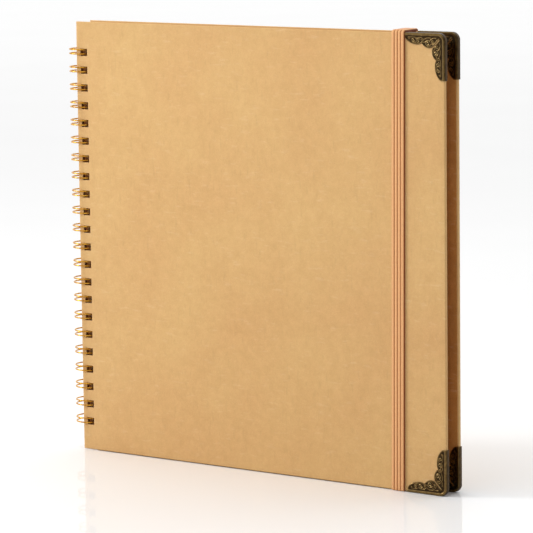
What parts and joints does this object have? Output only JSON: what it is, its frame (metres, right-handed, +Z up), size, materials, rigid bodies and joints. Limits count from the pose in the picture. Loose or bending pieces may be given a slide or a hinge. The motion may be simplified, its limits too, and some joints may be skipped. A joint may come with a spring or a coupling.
{
  "type": "scrapbook album",
  "caption": "Square wire-bound scrapbook album with hard wrapped covers that open flat, turning board leaves, metal corner guards and an elastic closure band.",
  "frame": {"origin": "centre of the footprint, on the plane the album stands on (the bottom of the metal corner guards)", "axes": "+Z up along the spine; the front cover faces -Y, the wire binding is at -X and the fore-edge at +X"},
  "size_m": [0.3258, 0.0224, 0.3108],
  "materials": {
    "kraft_wrap": "uncoated natural kraft, fine fibres",
    "grey_board": "raw compressed board",
    "kraft_page": "uncoated kraft board, smooth",
    "gold_wire": "polished gold-coloured coated steel wire",
    "antique_brass": "antique finish, dark in the hollows and rubbed bright on the ridges",
    "peach_elastic": "ribbed woven elastic"
  },
  "bodies": {
    "back_cover": {"back_cover_board": "grey_board", "back_cover_wrap": "kraft_wrap", "back_endpaper": "kraft_wrap", "back_top_corner_guard": "antique_brass", "back_bottom_corner_guard": "antique_brass", "twin_loop_wire": "gold_wire", "band_top_end": "peach_elastic", "band_bottom_end": "peach_elastic"},
    "leaf_01": {"leaf_01": "kraft_page"},
    "leaf_02": {"leaf_02": "kraft_page"},
    "leaf_03": {"leaf_03": "kraft_page"},
    "leaf_04": {"leaf_04": "kraft_page"},
    "leaf_05": {"leaf_05": "kraft_page"},
    "leaf_06": {"leaf_06": "kraft_page"},
    "leaf_07": {"leaf_07": "kraft_page"},
    "leaf_08": {"leaf_08": "kraft_page"},
    "leaf_09": {"leaf_09": "kraft_page"},
    "leaf_10": {"leaf_10": "kraft_page"},
    "leaf_11": {"leaf_11": "kraft_page"},
    "leaf_12": {"leaf_12": "kraft_page"},
    "leaf_13": {"leaf_13": "kraft_page"},
    "leaf_14": {"leaf_14": "kraft_page"},
    "leaf_15": {"leaf_15": "kraft_page"},
    "leaf_16": {"leaf_16": "kraft_page"},
    "front_cover": {"front_cover_board": "grey_board", "front_cover_wrap": "kraft_wrap", "front_endpaper": "kraft_wrap", "front_top_corner_guard": "antique_brass", "front_bottom_corner_guard": "antique_brass"},
    "elastic_band": {"band_front_run": "peach_elastic"}
  },
  "joints": [
    {"name": "leaf_16_turn", "type": "hinge", "parent": "back_cover", "child": "leaf_16", "pos_m": [-0.15177, 0.00001, 0.155], "axis": [0, 0, -1], "range_deg": [0, 180]},
    {"name": "leaf_15_turn", "type": "hinge", "parent": "leaf_16", "child": "leaf_15", "pos_m": [-0.15177, 0.00001, 0.155], "axis": [0, 0, -1], "range_deg": [0, 180]},
    {"name": "leaf_14_turn", "type": "hinge", "parent": "leaf_15", "child": "leaf_14", "pos_m": [-0.15177, 0.00001, 0.155], "axis": [0, 0, -1], "range_deg": [0, 180]},
    {"name": "leaf_13_turn", "type": "hinge", "parent": "leaf_14", "child": "leaf_13", "pos_m": [-0.15177, 0.00001, 0.155], "axis": [0, 0, -1], "range_deg": [0, 180]},
    {"name": "leaf_12_turn", "type": "hinge", "parent": "leaf_13", "child": "leaf_12", "pos_m": [-0.15177, 0.00001, 0.155], "axis": [0, 0, -1], "range_deg": [0, 180]},
    {"name": "leaf_11_turn", "type": "hinge", "parent": "leaf_12", "child": "leaf_11", "pos_m": [-0.15177, 0.00001, 0.155], "axis": [0, 0, -1], "range_deg": [0, 180]},
    {"name": "leaf_10_turn", "type": "hinge", "parent": "leaf_11", "child": "leaf_10", "pos_m": [-0.15177, 0.00001, 0.155], "axis": [0, 0, -1], "range_deg": [0, 180]},
    {"name": "leaf_09_turn", "type": "hinge", "parent": "leaf_10", "child": "leaf_09", "pos_m": [-0.15177, 0.00001, 0.155], "axis": [0, 0, -1], "range_deg": [0, 180]},
    {"name": "leaf_08_turn", "type": "hinge", "parent": "leaf_09", "child": "leaf_08", "pos_m": [-0.15177, 0.00001, 0.155], "axis": [0, 0, -1], "range_deg": [0, 180]},
    {"name": "leaf_07_turn", "type": "hinge", "parent": "leaf_08", "child": "leaf_07", "pos_m": [-0.15177, 0.00001, 0.155], "axis": [0, 0, -1], "range_deg": [0, 180]},
    {"name": "leaf_06_turn", "type": "hinge", "parent": "leaf_07", "child": "leaf_06", "pos_m": [-0.15177, 0.00001, 0.155], "axis": [0, 0, -1], "range_deg": [0, 180]},
    {"name": "leaf_05_turn", "type": "hinge", "parent": "leaf_06", "child": "leaf_05", "pos_m": [-0.15177, 0.00001, 0.155], "axis": [0, 0, -1], "range_deg": [0, 180]},
    {"name": "leaf_04_turn", "type": "hinge", "parent": "leaf_05", "child": "leaf_04", "pos_m": [-0.15177, 0.00001, 0.155], "axis": [0, 0, -1], "range_deg": [0, 180]},
    {"name": "leaf_03_turn", "type": "hinge", "parent": "leaf_04", "child": "leaf_03", "pos_m": [-0.15177, 0.00001, 0.155], "axis": [0, 0, -1], "range_deg": [0, 180]},
    {"name": "leaf_02_turn", "type": "hinge", "parent": "leaf_03", "child": "leaf_02", "pos_m": [-0.15177, 0.00001, 0.155], "axis": [0, 0, -1], "range_deg": [0, 180]},
    {"name": "leaf_01_turn", "type": "hinge", "parent": "leaf_02", "child": "leaf_01", "pos_m": [-0.15177, 0.00001, 0.155], "axis": [0, 0, -1], "range_deg": [0, 180]},
    {"name": "front_cover_turn", "type": "hinge", "parent": "leaf_01", "child": "front_cover", "pos_m": [-0.15177, 0.00001, 0.155], "axis": [0, 0, -1], "range_deg": [0, 180]},
    {"name": "band_slide", "type": "slide", "parent": "back_cover", "child": "elastic_band", "axis": [1, 0, 0], "range_m": [0, 0.046], "stiffness_N_per_m": 60, "deforming": ["band_front_run", "band_top_end", "band_bottom_end"]}
  ]
}
